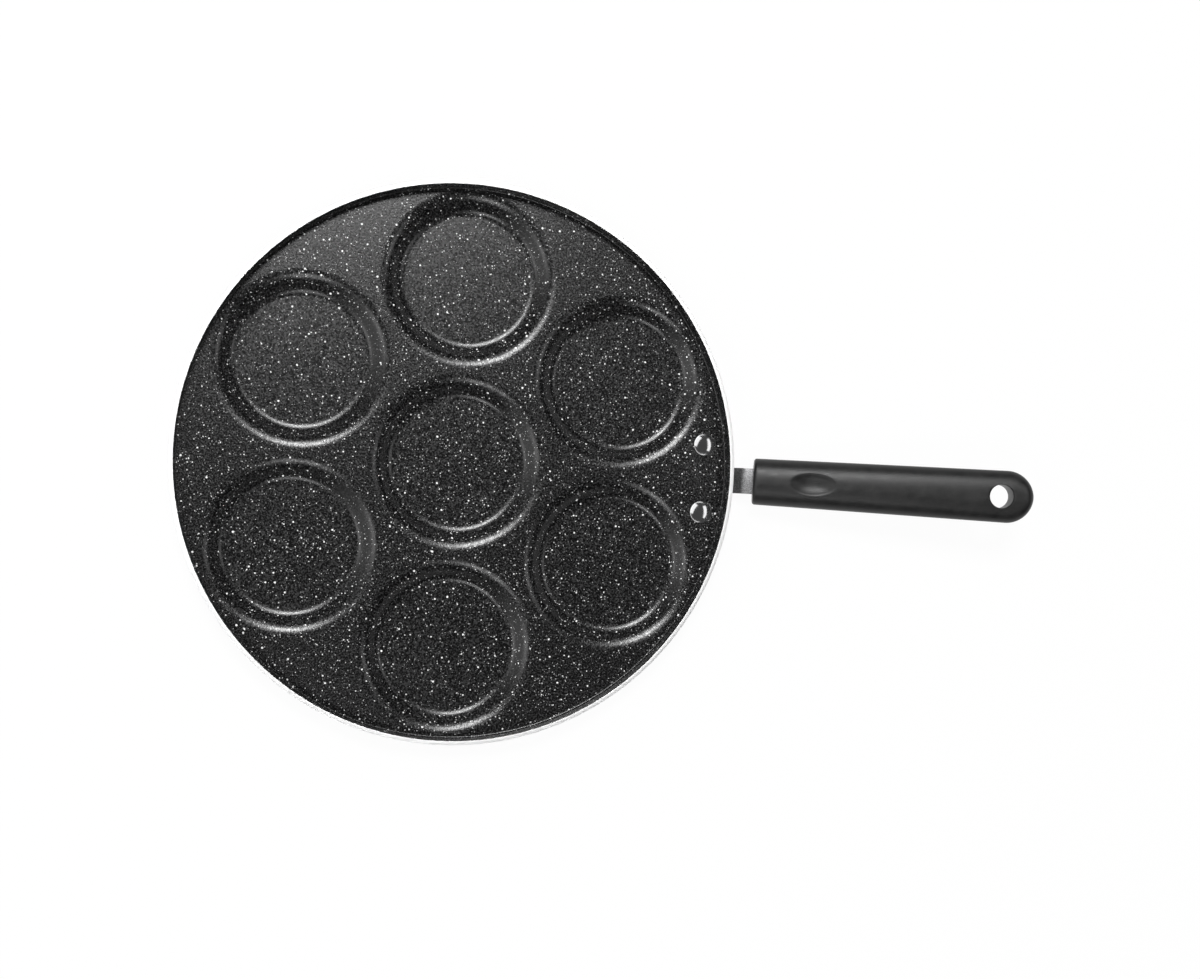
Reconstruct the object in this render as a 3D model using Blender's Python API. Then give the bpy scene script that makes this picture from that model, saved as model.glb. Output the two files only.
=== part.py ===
"""Egg pan with seven round moulds, a riveted steel bracket and a moulded grip.

Metres, +Z up. The origin is on the pan's axis at the underside of the centre
mould, which is the plane that the pan rests on. +X runs out along the handle.
"""
import math

import bmesh
import bpy
from mathutils import Matrix, Vector
from mathutils.geometry import delaunay_2d_cdt

MM = 0.001

# Clearances
SEAT_GAP = 0.3 * MM  # between two faces that touch on the real pan
HOLE_CLEARANCE = 0.3 * MM  # all round a shank, screw or tang

# Pan, one pressed sheet
RIM_DIAMETER = 300.0 * MM
SHEET = 2.2 * MM
WALL_HEIGHT = 10.0 * MM  # from the deck between the moulds up to the rim
WALL_DRAFT = math.radians(1.0)
WALL_FOOT_FILLET = 0.8 * MM
DECK_RING = 0.95 * MM  # between the outer moulds' edges and the wall's foot

# Moulds, one in the middle and the others round it
MOULDS_ROUND = 6
MOULD_DEPTH = 5.3 * MM
MOULD_FLOOR_RADIUS = 36.4 * MM  # to the line where floor and wall would meet
MOULD_WALL_ANGLE = math.radians(35.0)
MOULD_FLOOR_FILLET = 8.0 * MM
MOULD_SHOULDER = 12.5 * MM  # radius of the rolled edge between wall and deck

# Rivets
RIVET_FROM_RIM = 15.0 * MM  # along the handle's line, in from the rim
RIVET_SPACING = 37.2 * MM
RIVET_SHANK = 5.0 * MM
RIVET_HEAD = 12.2 * MM
RIVET_HEAD_EDGE = 0.5 * MM
RIVET_HEAD_DOME = 2.4 * MM
RIVET_TAIL = 8.6 * MM
RIVET_TAIL_HEIGHT = 1.9 * MM

# Bracket, one stamped and bent steel strip
BRACKET_SHEET = 2.0 * MM
BRACKET_EDGE = 6.5 * MM  # metal round each rivet's centre
NECK_WIDTH = 14.0 * MM
NECK_FILLET = 4.0 * MM
NECK_PAST_RIM = 0.8 * MM  # how far outside the rim the first bend begins
NECK_BEND = 3.0 * MM  # inside radius of both bends
NECK_CLIMB_ANGLE = math.radians(55.0)
NECK_CLIMB = 4.0 * MM  # straight steel between the two bends
NECK_EXPOSED = 3.9 * MM  # straight steel between the second bend and the grip
TANG_LENGTH = 46.0 * MM  # inside the grip
TANG_CORNER = 2.5 * MM

# Grip, one moulding
GRIP_LENGTH = 153.4 * MM
GRIP_SLOPE_FRONT = math.radians(12.5)
GRIP_SLOPE_TIP = math.radians(9.5)
GRIP_FRONT_WIDTH = 25.4 * MM
GRIP_TIP_WIDTH = 29.0 * MM
GRIP_FRONT_HEIGHT = 18.0 * MM
GRIP_TIP_HEIGHT = 14.0 * MM
GRIP_SQUARENESS = 2.5  # exponent of the section, 2 is an ellipse
GRIP_FRONT_ROUND = 1.5 * MM
GRIP_TIP_ROUND = 5.0 * MM
HANG_HOLE = 12.8 * MM
HANG_HOLE_FROM_TIP = 18.3 * MM
HANG_HOLE_FLARE = 1.2 * MM
THUMB_LENGTH = 24.1 * MM
THUMB_WIDTH = 13.5 * MM
THUMB_DEPTH = 2.0 * MM
THUMB_FROM_FRONT = 32.6 * MM
THUMB_BOWL = 6.0 * MM  # height of the ellipsoid that scoops it

# Screw that holds the grip on the tang, driven from below
SCREW_FROM_FRONT = 19.6 * MM
SCREW_SHANK = 4.0 * MM
SCREW_PAST_TANG = 2.0 * MM
SCREW_HEAD = 7.4 * MM
SCREW_HEAD_HEIGHT = 2.4 * MM
SCREW_HEAD_ROUND = 1.1 * MM
SCREW_TIP_CHAMFER = 0.6 * MM
SCREW_FLOOR = 3.0 * MM  # plastic between the screw's head and the tang
DRIVE_LENGTH = 4.4 * MM  # across the cross recess
DRIVE_WIDTH = 0.9 * MM
DRIVE_DEPTH = 1.4 * MM

# How finely the curved faces are cut into flats
MOULD_SIDES = 36
FLOOR_FILLET_STEPS = 3
SHOULDER_STEPS = 3
WALL_FILLET_STEPS = 2
WALL_SIDES = 96
ROUND_SIDES = 28
HOLE_SIDES = 20
GRIP_SIDES = 28
DOME_STEPS = 4
TAIL_STEPS = 3
CORNER_STEPS = 4
WING_STEPS = 10
BEND_STEPS = 4
GRIP_FRONT_SECTIONS = 3
GRIP_SECTIONS = 8
GRIP_TIP_SECTIONS = 10
THUMB_BANDS = 18
WELD = 0.0001 * MM  # points closer than this are one point

# Worked out from the sizes above. Reaches are measured along the sheet while it is
# still flat, out from the pan's axis.
DECK_Z = SHEET + MOULD_DEPTH
RIM_Z = DECK_Z + WALL_HEIGHT
RIM_RADIUS = RIM_DIAMETER / 2
RIM_INNER = RIM_RADIUS - SHEET / math.cos(WALL_DRAFT)
WALL_FOOT = RIM_INNER - WALL_HEIGHT * math.tan(WALL_DRAFT)
WALL_SLOPE = math.pi / 2 - WALL_DRAFT
FILLET_START = WALL_FOOT - WALL_FOOT_FILLET * math.tan(WALL_SLOPE / 2)
FILLET_LENGTH = WALL_FOOT_FILLET * WALL_SLOPE
FILLET_RISE = WALL_FOOT_FILLET * (1 - math.cos(WALL_SLOPE))
RIM_REACH = FILLET_START + FILLET_LENGTH + (WALL_HEIGHT - FILLET_RISE) / math.sin(WALL_SLOPE)

MOULD_MOUTH_RADIUS = MOULD_FLOOR_RADIUS + MOULD_DEPTH / math.tan(MOULD_WALL_ANGLE)
FLOOR_FLAT = MOULD_FLOOR_RADIUS - MOULD_FLOOR_FILLET * math.tan(MOULD_WALL_ANGLE / 2)
MOULD_EDGE = MOULD_MOUTH_RADIUS + MOULD_SHOULDER * math.tan(MOULD_WALL_ANGLE / 2)
MOULD_PITCH = WALL_FOOT - DECK_RING - MOULD_EDGE

RIVET_X = RIM_RADIUS - RIVET_FROM_RIM
RIVET_HOLE = RIVET_SHANK + 2 * HOLE_CLEARANCE
SCREW_HOLE = SCREW_SHANK + 2 * HOLE_CLEARANCE


def clear_scene():
    for old in list(bpy.data.objects):
        bpy.data.objects.remove(old, do_unlink=True)


def finish_material(name, colour, roughness, metallic):
    """A plain Principled material."""
    material = bpy.data.materials.new(name)
    material.use_nodes = True
    shader = material.node_tree.nodes["Principled BSDF"]
    shader.inputs["Base Color"].default_value = (*colour, 1.0)
    shader.inputs["Roughness"].default_value = roughness
    shader.inputs["Metallic"].default_value = metallic
    return material


def add_object(name, bm, material=None, sharp=math.radians(38)):
    """Make an object of a bmesh, with its faces pointing out and shaded smooth."""
    bmesh.ops.recalc_face_normals(bm, faces=bm.faces)
    mesh = bpy.data.meshes.new(name)
    bm.to_mesh(mesh)
    bm.free()
    mesh.shade_smooth()
    mesh.set_sharp_from_angle(angle=sharp)
    if material:
        mesh.materials.append(material)
    made = bpy.data.objects.new(name, mesh)
    bpy.context.scene.collection.objects.link(made)
    return made


def add_cutter(name, bm, target):
    """A hidden solid that a Boolean takes away from the target."""
    cutter = add_object(name, bm)
    cutter.hide_render = True
    cutter.display_type = "WIRE"
    cut = target.modifiers.new(name, "BOOLEAN")
    cut.operation = "DIFFERENCE"
    cut.solver = "EXACT"
    cut.object = cutter
    return cutter


def turned(profile, sides):
    """Spin a profile of (radius, height) points round Z, closed at both poles."""
    bm = bmesh.new()
    line = [bm.verts.new((radius, 0, height)) for radius, height in profile]
    edges = [bm.edges.new(pair) for pair in zip(line, line[1:])]
    bmesh.ops.spin(
        bm,
        geom=line + edges,
        cent=(0, 0, 0),
        axis=(0, 0, 1),
        dvec=(0, 0, 0),
        angle=2 * math.pi,
        steps=sides,
        use_merge=True,
    )
    bmesh.ops.remove_doubles(bm, verts=bm.verts, dist=WELD)
    return bm


def arc(centre, radius, start, end, steps):
    """Points on an arc in two dimensions, both ends included."""
    points = []
    for step in range(steps + 1):
        angle = start + (end - start) * step / steps
        points.append((centre[0] + radius * math.cos(angle), centre[1] + radius * math.sin(angle)))
    return points


def circle(centre, diameter, sides):
    return arc(centre, diameter / 2, 0, 2 * math.pi, sides)[:-1]


class Plan:
    """Points and lines of a flat pattern, before it is cut into triangles."""

    def __init__(self):
        self.points = []
        self.edges = []

    def line(self, points, closed=False):
        start = len(self.points)
        count = len(points)
        self.points += [Vector(point) for point in points]
        for index in range(count if closed else count - 1):
            self.edges.append((start + index, start + (index + 1) % count))


def inside(loop, x, y):
    """Whether a point lies in a closed loop of points."""
    found = False
    for (x1, y1), (x2, y2) in zip(loop, loop[1:] + loop[:1]):
        if (y1 > y) != (y2 > y) and x < x1 + (y - y1) * (x2 - x1) / (y2 - y1):
            found = not found
    return found


def pressed_sheet(plan, outline, holes, skins):
    """Cut a flat pattern into triangles and press it into a sheet with two skins.

    skins(u, v) gives the points on the sheet's front and back for a point of
    the pattern. Triangles outside the outline or in a hole are left out.
    """
    found = delaunay_2d_cdt(plan.points, plan.edges, [], 0, WELD)
    flat, triangles = found[0], found[2]
    bm = bmesh.new()
    pairs = {}

    def pair(index):
        if index not in pairs:
            front, back = skins(*flat[index])
            pairs[index] = (bm.verts.new(front), bm.verts.new(back))
        return pairs[index]

    borders = {}
    for triangle in triangles:
        u = sum(flat[index][0] for index in triangle) / 3
        v = sum(flat[index][1] for index in triangle) / 3
        if not inside(outline, u, v) or any(inside(hole, u, v) for hole in holes):
            continue
        corners = [pair(index) for index in triangle]
        bm.faces.new([front for front, _ in corners])
        bm.faces.new([back for _, back in reversed(corners)])
        for first, second in zip(triangle, triangle[1:] + triangle[:1]):
            if (second, first) in borders:
                del borders[(second, first)]
            else:
                borders[(first, second)] = True
    for first, second in borders:
        front_a, back_a = pairs[first]
        front_b, back_b = pairs[second]
        bm.faces.new((front_b, front_a, back_a, back_b))
    return bm


# The pan

def mould_centres():
    centres = [(0.0, 0.0)]
    for index in range(MOULDS_ROUND):
        angle = 2 * math.pi * (index + 0.5) / MOULDS_ROUND
        centres.append((MOULD_PITCH * math.cos(angle), MOULD_PITCH * math.sin(angle)))
    return centres


MOULD_CENTRES = mould_centres()


def mould_profile(distance):
    """How far a mould lies below the deck, and its slope, at a distance from its centre."""
    bend_end = FLOOR_FLAT + MOULD_FLOOR_FILLET * math.sin(MOULD_WALL_ANGLE)
    shoulder_start = MOULD_EDGE - MOULD_SHOULDER * math.sin(MOULD_WALL_ANGLE)
    if distance <= FLOOR_FLAT:
        return MOULD_DEPTH, 0.0
    if distance < bend_end:
        slope = math.asin((distance - FLOOR_FLAT) / MOULD_FLOOR_FILLET)
        return MOULD_DEPTH - MOULD_FLOOR_FILLET * (1 - math.cos(slope)), slope
    if distance < shoulder_start:
        return (MOULD_MOUTH_RADIUS - distance) * math.tan(MOULD_WALL_ANGLE), MOULD_WALL_ANGLE
    if distance < MOULD_EDGE:
        slope = math.asin((MOULD_EDGE - distance) / MOULD_SHOULDER)
        return MOULD_SHOULDER * (1 - math.cos(slope)), slope
    return 0.0, 0.0


def wall_profile(reach):
    """Radius, height above the deck and slope of the wall's inner face at a reach."""
    bent = min(reach - FILLET_START, FILLET_LENGTH)
    slope = bent / WALL_FOOT_FILLET
    climbed = reach - FILLET_START - bent
    radius = FILLET_START + WALL_FOOT_FILLET * math.sin(slope) + climbed * math.cos(slope)
    rise = WALL_FOOT_FILLET * (1 - math.cos(slope)) + climbed * math.sin(slope)
    return radius, rise, slope


def pan_skins(u, v):
    """The inner face at a point of the flat sheet, and the outer face one sheet away."""
    reach = math.hypot(u, v)
    if reach > RIM_REACH - WELD:
        out = Vector((u, v, 0)) / reach
        top = Vector((0, 0, RIM_Z))
        return top + out * RIM_INNER, top + out * RIM_RADIUS
    if reach > FILLET_START:
        centre = Vector((0, 0, DECK_Z))
        radius, rise, slope = wall_profile(reach)
        out = Vector((u, v, 0)) / reach
    else:
        mould = min(MOULD_CENTRES, key=lambda place: math.dist(place, (u, v)))
        centre = Vector((*mould, DECK_Z))
        out = Vector((u - mould[0], v - mould[1], 0))
        radius = out.length
        out.normalize()
        sink, slope = mould_profile(radius)
        rise = -sink
    up = Vector((0, 0, 1))
    inner = centre + out * radius + up * rise
    normal = up * math.cos(slope) - out * math.sin(slope)
    return inner, inner - normal * SHEET


def mould_rings():
    """Radii at which a mould's profile bends."""
    rings = []
    for step in range(FLOOR_FILLET_STEPS + 1):
        slope = MOULD_WALL_ANGLE * step / FLOOR_FILLET_STEPS
        rings.append(FLOOR_FLAT + MOULD_FLOOR_FILLET * math.sin(slope))
    for step in range(SHOULDER_STEPS + 1):
        slope = MOULD_WALL_ANGLE * (1 - step / SHOULDER_STEPS)
        rings.append(MOULD_EDGE - MOULD_SHOULDER * math.sin(slope))
    return rings


def wall_rings():
    """Reaches at which the wall's profile bends, up to the rim."""
    rings = []
    for step in range(WALL_FILLET_STEPS + 1):
        rings.append(FILLET_START + FILLET_LENGTH * step / WALL_FILLET_STEPS)
    return rings + [RIM_REACH]


def make_pan(material):
    plan = Plan()
    for centre in MOULD_CENTRES:
        for ring in mould_rings():
            plan.line(circle(centre, 2 * ring, MOULD_SIDES), closed=True)
    for ring in wall_rings():
        edge = circle((0, 0), 2 * ring, WALL_SIDES)
        plan.line(edge, closed=True)
    holes = []
    for side in (-1, 1):
        hole = circle((RIVET_X, side * RIVET_SPACING / 2), RIVET_HOLE, HOLE_SIDES)
        plan.line(hole, closed=True)
        holes.append(hole)
    return add_object("pan_body", pressed_sheet(plan, edge, holes, pan_skins), material)


# The rivets

def make_rivet(name, side, material):
    """A solid rivet: domed head in the pan, shank, and a tail closed over the bracket."""
    grip = SHEET + BRACKET_SHEET + 3 * SEAT_GAP  # from under the head to the tail
    shank = RIVET_SHANK / 2
    head = RIVET_HEAD / 2
    tail = RIVET_TAIL / 2
    dome_radius = (head**2 + RIVET_HEAD_DOME**2) / (2 * RIVET_HEAD_DOME)
    dome_centre = (0, SEAT_GAP + RIVET_HEAD_EDGE + RIVET_HEAD_DOME - dome_radius)
    dome = arc(dome_centre, dome_radius, math.pi / 2, math.acos(head / dome_radius), DOME_STEPS)
    tail_top = SEAT_GAP - grip
    profile = [(0, dome[0][1])] + dome[1:]
    profile += [(head, SEAT_GAP), (shank, SEAT_GAP), (shank, tail_top)]
    for step in range(TAIL_STEPS):
        angle = math.pi / 2 * step / TAIL_STEPS
        profile.append((tail * math.cos(angle), tail_top - RIVET_TAIL_HEIGHT * math.sin(angle)))
    profile.append((0, tail_top - RIVET_TAIL_HEIGHT))
    rivet = add_object(name, turned(profile, ROUND_SIDES), material)
    rivet.location = (RIVET_X, side * RIVET_SPACING / 2, DECK_Z)
    return rivet


# The bracket, drawn flat along its own length and then bent

PLATE_START = Vector((RIVET_X - BRACKET_EDGE, 0, DECK_Z - SHEET - SEAT_GAP))
NECK_UNBEND = NECK_CLIMB_ANGLE - GRIP_SLOPE_FRONT
BRACKET_PATH = (  # each run's length along the strip's upper face, and how far it turns up
    (RIM_RADIUS + NECK_PAST_RIM - PLATE_START.x, 0.0),
    (NECK_BEND * NECK_CLIMB_ANGLE, NECK_CLIMB_ANGLE),
    (NECK_CLIMB, 0.0),
    ((NECK_BEND + BRACKET_SHEET) * NECK_UNBEND, -NECK_UNBEND),
    (NECK_EXPOSED + SEAT_GAP + TANG_LENGTH, 0.0),
)
BRACKET_LENGTH = sum(length for length, turn in BRACKET_PATH)
TANG_START = BRACKET_LENGTH - TANG_LENGTH - SEAT_GAP


def bracket_top(s):
    """Place and slope of the strip's upper face, s along it from its inner edge."""
    place = PLATE_START.copy()
    slope = 0.0
    left = s
    for length, turn in BRACKET_PATH:
        share = min(left / length, 1.0)
        if turn:
            radius = length / turn
            after = slope + turn * share
            across = radius * (math.sin(after) - math.sin(slope))
            up = radius * (math.cos(slope) - math.cos(after))
            slope = after
        else:
            across = length * share * math.cos(slope)
            up = length * share * math.sin(slope)
        place += Vector((across, 0, up))
        left -= length
        if left <= 0:
            break
    return place, slope


def bend_lines():
    """Distances along the strip at which it bends."""
    lines = []
    start = 0.0
    for length, turn in BRACKET_PATH:
        if turn:
            lines += [start + length * step / BEND_STEPS for step in range(BEND_STEPS + 1)]
        start += length
    return lines


def bracket_skins(s, y):
    place, slope = bracket_top(s)
    down = Vector((math.sin(slope), 0, -math.cos(slope)))
    front = place + Vector((0, y, 0))
    return front, front + down * BRACKET_SHEET


def make_bracket(material):
    half = NECK_WIDTH / 2
    rivet_y = RIVET_SPACING / 2
    plate_top = 2 * BRACKET_EDGE
    wing = arc((BRACKET_EDGE, rivet_y), BRACKET_EDGE, math.pi, 0, WING_STEPS)
    fillet_centre = (plate_top + NECK_FILLET, half + NECK_FILLET)
    fillet = arc(fillet_centre, NECK_FILLET, math.pi, 1.5 * math.pi, CORNER_STEPS)
    corner_centre = (BRACKET_LENGTH - TANG_CORNER, half - TANG_CORNER)
    corner = arc(corner_centre, TANG_CORNER, math.pi / 2, 0, CORNER_STEPS)
    right = wing + fillet + [(s, half) for s in bend_lines()] + corner
    left = [(s, -y) for s, y in reversed(right)]
    outline = right + left

    holes = [circle((BRACKET_EDGE, side * rivet_y), RIVET_HOLE, HOLE_SIDES) for side in (-1, 1)]
    holes.append(circle((TANG_START + SCREW_FROM_FRONT, 0), SCREW_HOLE, HOLE_SIDES))
    plan = Plan()
    plan.line(outline, closed=True)
    for hole in holes:
        plan.line(hole, closed=True)
    for s in bend_lines():
        plan.line([(s, half), (s, -half)])
    return add_object("handle_bracket", pressed_sheet(plan, outline, holes, bracket_skins), material)


# The grip, lofted along a gentle arc

def grip_centre(s):
    """Place and slope of the grip's centre line, s along it from its front face."""
    top, slope = bracket_top(TANG_START)
    down = Vector((math.sin(slope), 0, -math.cos(slope)))
    start = top + down * BRACKET_SHEET / 2
    bend = (GRIP_SLOPE_FRONT - GRIP_SLOPE_TIP) / GRIP_LENGTH
    slope = GRIP_SLOPE_FRONT - bend * s
    mean = (GRIP_SLOPE_FRONT + slope) / 2
    return start + Vector((math.cos(mean), 0, math.sin(mean))) * s, slope


def grip_half_sizes(s):
    """Half the width and half the height of the grip's section."""
    share = s / GRIP_LENGTH
    width = (GRIP_FRONT_WIDTH + (GRIP_TIP_WIDTH - GRIP_FRONT_WIDTH) * share) / 2
    height = (GRIP_FRONT_HEIGHT + (GRIP_TIP_HEIGHT - GRIP_FRONT_HEIGHT) * share) / 2
    if s < GRIP_FRONT_ROUND:
        inset = GRIP_FRONT_ROUND - math.sqrt(GRIP_FRONT_ROUND**2 - (GRIP_FRONT_ROUND - s) ** 2)
        return width - inset, height - inset
    end = GRIP_TIP_WIDTH / 2
    past = max(s - (GRIP_LENGTH - end), 0.0)
    width *= math.sqrt(max(1 - (past / end) ** 2, 0.0))
    past = max(s - (GRIP_LENGTH - GRIP_TIP_ROUND), 0.0) / GRIP_TIP_ROUND
    height -= GRIP_TIP_ROUND * (1 - math.sqrt(max(1 - past**2, 0.0)))
    return width, height


def grip_stations():
    """Distances along the grip at which it has a section."""
    stations = []
    for step in range(GRIP_FRONT_SECTIONS):
        turn = math.pi / 2 * step / GRIP_FRONT_SECTIONS
        stations.append(GRIP_FRONT_ROUND * (1 - math.cos(turn)))
    end = GRIP_TIP_WIDTH / 2
    straight = GRIP_LENGTH - end - GRIP_FRONT_ROUND
    for step in range(GRIP_SECTIONS):
        stations.append(GRIP_FRONT_ROUND + straight * step / GRIP_SECTIONS)
    for step in range(GRIP_TIP_SECTIONS):
        turn = math.pi / 2 * step / GRIP_TIP_SECTIONS
        stations.append(GRIP_LENGTH - end + end * math.sin(turn))
    return stations


def grip_section(s):
    """Points round one section, a rounded oblong."""
    centre, slope = grip_centre(s)
    up = Vector((-math.sin(slope), 0, math.cos(slope)))
    half_width, half_height = grip_half_sizes(s)
    points = []
    for step in range(GRIP_SIDES):
        angle = 2 * math.pi * step / GRIP_SIDES
        across = math.copysign(abs(math.cos(angle)) ** (2 / GRIP_SQUARENESS), math.cos(angle))
        high = math.copysign(abs(math.sin(angle)) ** (2 / GRIP_SQUARENESS), math.sin(angle))
        points.append(centre + Vector((0, half_width * across, 0)) + up * half_height * high)
    return points


def on_grip(s, offset):
    """A frame on the grip's centre line, Z square to the grip, raised by offset."""
    centre, slope = grip_centre(s)
    up = Vector((-math.sin(slope), 0, math.cos(slope)))
    return Matrix.Translation(centre + up * offset) @ Matrix.Rotation(-slope, 4, "Y")


def make_grip(material):
    bm = bmesh.new()
    rings = []
    for s in grip_stations():
        rings.append([bm.verts.new(point) for point in grip_section(s)])
    for ring, following in zip(rings, rings[1:]):
        for index in range(GRIP_SIDES):
            after = (index + 1) % GRIP_SIDES
            bm.faces.new((ring[index], ring[after], following[after], following[index]))
    bm.faces.new(rings[0])
    bm.faces.new(rings[-1])
    grip = add_object("grip", bm, material)

    slot = bmesh.new()
    bmesh.ops.create_cube(slot, size=1.0)
    reach = TANG_LENGTH + SEAT_GAP + HOLE_CLEARANCE
    size = (2 * reach, NECK_WIDTH + 2 * HOLE_CLEARANCE, BRACKET_SHEET + 2 * HOLE_CLEARANCE)
    bmesh.ops.scale(slot, vec=size, verts=slot.verts)
    add_cutter("cut_tang_slot", slot, grip).matrix_world = on_grip(0, 0)

    hole_at = GRIP_LENGTH - HANG_HOLE_FROM_TIP
    flare_start = grip_half_sizes(hole_at)[1] - HANG_HOLE_FLARE
    flare = 3 * HANG_HOLE_FLARE  # runs on past the surface at the same slope
    radius = HANG_HOLE / 2
    upper = [(0, flare_start + flare), (radius + flare, flare_start + flare), (radius, flare_start)]
    profile = upper + [(r, -z) for r, z in reversed(upper)]
    half_a_side = Matrix.Rotation(math.pi / ROUND_SIDES, 4, "Z")
    hole = add_cutter("cut_hang_hole", turned(profile, ROUND_SIDES), grip)
    hole.matrix_world = on_grip(hole_at, 0) @ half_a_side

    thumb = bmesh.new()
    bmesh.ops.create_uvsphere(thumb, u_segments=ROUND_SIDES, v_segments=THUMB_BANDS, radius=1.0)
    centre_up = THUMB_BOWL - THUMB_DEPTH
    grow = 1 / math.sqrt(1 - (centre_up / THUMB_BOWL) ** 2)
    size = (THUMB_LENGTH / 2 * grow, THUMB_WIDTH / 2 * grow, THUMB_BOWL)
    bmesh.ops.scale(thumb, vec=size, verts=thumb.verts)
    surface = grip_half_sizes(THUMB_FROM_FRONT)[1]
    place = on_grip(THUMB_FROM_FRONT, surface + centre_up)
    add_cutter("cut_thumb_recess", thumb, grip).matrix_world = place

    bore = SCREW_HOLE / 2
    wide = SCREW_HEAD / 2 + HOLE_CLEARANCE
    shelf = -(BRACKET_SHEET / 2 + SCREW_FLOOR)
    below = -GRIP_FRONT_HEIGHT
    above = BRACKET_SHEET / 2 + SCREW_PAST_TANG + HOLE_CLEARANCE
    profile = [(0, above), (bore, above), (bore, shelf), (wide, shelf), (wide, below), (0, below)]
    add_cutter("cut_screw_hole", turned(profile, ROUND_SIDES), grip).matrix_world = screw_frame()
    return grip


# The screw

def screw_frame():
    """On the tang's middle plane, Z square to the tang."""
    top, slope = bracket_top(TANG_START + SCREW_FROM_FRONT)
    down = Vector((math.sin(slope), 0, -math.cos(slope)))
    return Matrix.Translation(top + down * BRACKET_SHEET / 2) @ Matrix.Rotation(-slope, 4, "Y")


def make_screw(material):
    """A pan-head screw, its head up against the grip's shelf."""
    shank = SCREW_SHANK / 2
    head = SCREW_HEAD / 2
    chamfer = SCREW_TIP_CHAMFER
    end = BRACKET_SHEET / 2 + SCREW_PAST_TANG
    seat = -(BRACKET_SHEET / 2 + SCREW_FLOOR + SEAT_GAP)
    low = seat - SCREW_HEAD_HEIGHT
    edge_centre = (head - SCREW_HEAD_ROUND, low + SCREW_HEAD_ROUND)
    edge = arc(edge_centre, SCREW_HEAD_ROUND, 0, -math.pi / 2, CORNER_STEPS)
    profile = [(0, end), (shank - chamfer, end), (shank, end - chamfer), (shank, seat), (head, seat)]
    profile += edge + [(0, low)]
    screw = add_object("grip_screw", turned(profile, ROUND_SIDES), material)
    screw.matrix_world = screw_frame()
    for name, length, width in (
        ("cut_drive_along", DRIVE_LENGTH, DRIVE_WIDTH),
        ("cut_drive_across", DRIVE_WIDTH, DRIVE_LENGTH),
    ):
        blade = bmesh.new()
        bmesh.ops.create_cube(blade, size=1.0)
        bmesh.ops.scale(blade, vec=(length, width, 2 * DRIVE_DEPTH), verts=blade.verts)
        placed = screw_frame() @ Matrix.Translation((0, 0, low))
        add_cutter(name, blade, screw).matrix_world = placed
    return screw


def main():
    clear_scene()
    coat = finish_material("stone_coat", (0.045, 0.046, 0.048), 0.42, 0.0)
    rivet_metal = finish_material("rivet_metal", (0.80, 0.80, 0.81), 0.16, 1.0)
    bracket_steel = finish_material("bracket_steel", (0.42, 0.42, 0.43), 0.42, 1.0)
    grip_plastic = finish_material("grip_plastic", (0.040, 0.041, 0.042), 0.48, 0.0)
    screw_steel = finish_material("screw_steel", (0.62, 0.62, 0.62), 0.30, 1.0)
    make_pan(coat)
    make_rivet("rivet_left", 1, rivet_metal)
    make_rivet("rivet_right", -1, rivet_metal)
    make_bracket(bracket_steel)
    make_grip(grip_plastic)
    make_screw(screw_steel)


main()
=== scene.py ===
import math

import bmesh
import bpy
from mathutils import Matrix, Vector
from mathutils.geometry import delaunay_2d_cdt


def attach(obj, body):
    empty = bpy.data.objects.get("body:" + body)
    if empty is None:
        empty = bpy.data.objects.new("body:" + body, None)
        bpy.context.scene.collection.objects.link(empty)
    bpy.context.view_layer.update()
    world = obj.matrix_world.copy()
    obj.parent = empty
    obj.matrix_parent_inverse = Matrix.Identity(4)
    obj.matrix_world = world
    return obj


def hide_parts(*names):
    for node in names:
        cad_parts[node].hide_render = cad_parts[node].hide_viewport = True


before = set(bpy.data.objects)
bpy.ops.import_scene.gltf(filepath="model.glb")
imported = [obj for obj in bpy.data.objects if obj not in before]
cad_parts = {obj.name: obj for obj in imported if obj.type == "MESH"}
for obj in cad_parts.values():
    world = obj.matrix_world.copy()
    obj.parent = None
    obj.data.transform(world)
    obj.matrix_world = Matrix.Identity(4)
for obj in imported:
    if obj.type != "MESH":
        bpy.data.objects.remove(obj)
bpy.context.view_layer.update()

MM = 0.001
WELD = 0.0001 * MM

# Pan, the same sizes as the solid's
SEAT_GAP = 0.3 * MM
HOLE_CLEARANCE = 0.3 * MM
RIM_RADIUS = 150.0 * MM
SHEET = 2.2 * MM
WALL_HEIGHT = 10.0 * MM
WALL_DRAFT = math.radians(1.0)
WALL_FOOT_FILLET = 0.8 * MM
DECK_RING = 0.95 * MM
MOULDS_ROUND = 6
MOULD_DEPTH = 5.3 * MM
MOULD_FLOOR_RADIUS = 36.4 * MM
MOULD_WALL_ANGLE = math.radians(35.0)
MOULD_FLOOR_FILLET = 8.0 * MM
MOULD_SHOULDER = 12.5 * MM
RIM_EDGE_ROUND = 0.25 * MM

# Rivets
RIVET_FROM_RIM = 15.0 * MM
RIVET_SPACING = 37.2 * MM
RIVET_SHANK = 5.0 * MM
RIVET_HEAD = 12.2 * MM
RIVET_HEAD_EDGE = 0.5 * MM
RIVET_HEAD_DOME = 2.4 * MM
RIVET_TAIL = 8.6 * MM
RIVET_TAIL_HEIGHT = 1.9 * MM
RIVET_EDGE_ROUND = 0.12 * MM

# Bracket
BRACKET_SHEET = 2.0 * MM
BRACKET_EDGE = 6.5 * MM
NECK_WIDTH = 14.0 * MM
NECK_FILLET = 4.0 * MM
NECK_PAST_RIM = 0.8 * MM
NECK_BEND = 3.0 * MM
NECK_CLIMB_ANGLE = math.radians(55.0)
NECK_CLIMB = 4.0 * MM
NECK_EXPOSED = 3.9 * MM
TANG_LENGTH = 46.0 * MM
TANG_CORNER = 2.5 * MM
BRACKET_EDGE_ROUND = 0.3 * MM

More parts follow.
